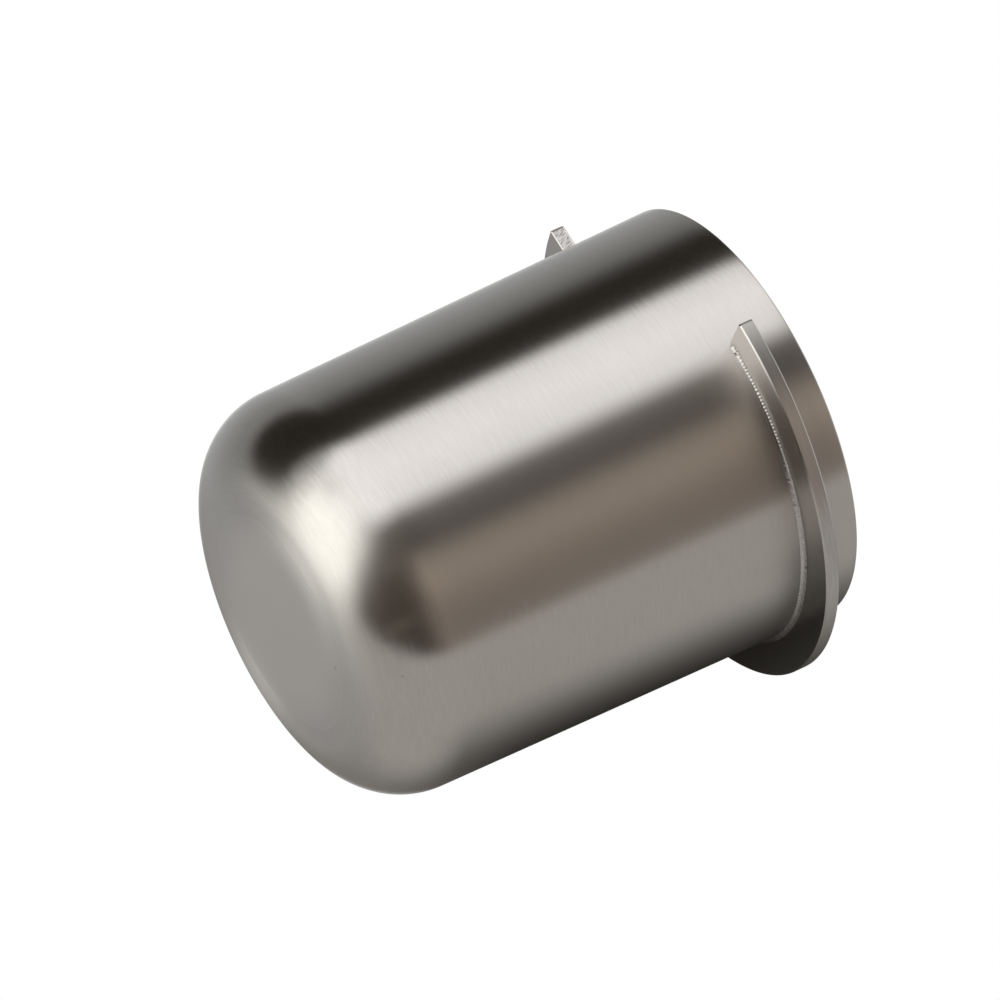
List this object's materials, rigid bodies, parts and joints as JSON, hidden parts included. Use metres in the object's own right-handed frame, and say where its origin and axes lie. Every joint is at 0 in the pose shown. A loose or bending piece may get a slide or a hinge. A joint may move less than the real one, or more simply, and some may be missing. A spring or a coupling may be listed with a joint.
{
  "type": "deep drawn metal cup",
  "caption": "Tapered deep drawn steel cup with a flat base, large base corner radius and a welded C-shaped flange below its open mouth.",
  "frame": {"origin": "middle of the flat underside of the closed base, on the cup's axis", "axes": "+Z along the cup's axis from the closed base to the open mouth, -Y towards the middle of the flange's gap"},
  "size_m": [0.0682, 0.0632, 0.0705],
  "materials": {
    "brushed_wall": "fine circumferential brush lines, satin",
    "flange_plate": "turned rim and faces, rough cut ends",
    "weld_metal": "fine rippled bead"
  },
  "bodies": {
    "root": {"cup": "brushed_wall", "flange": "flange_plate", "weld_bead": "weld_metal"}
  },
  "joints": []
}
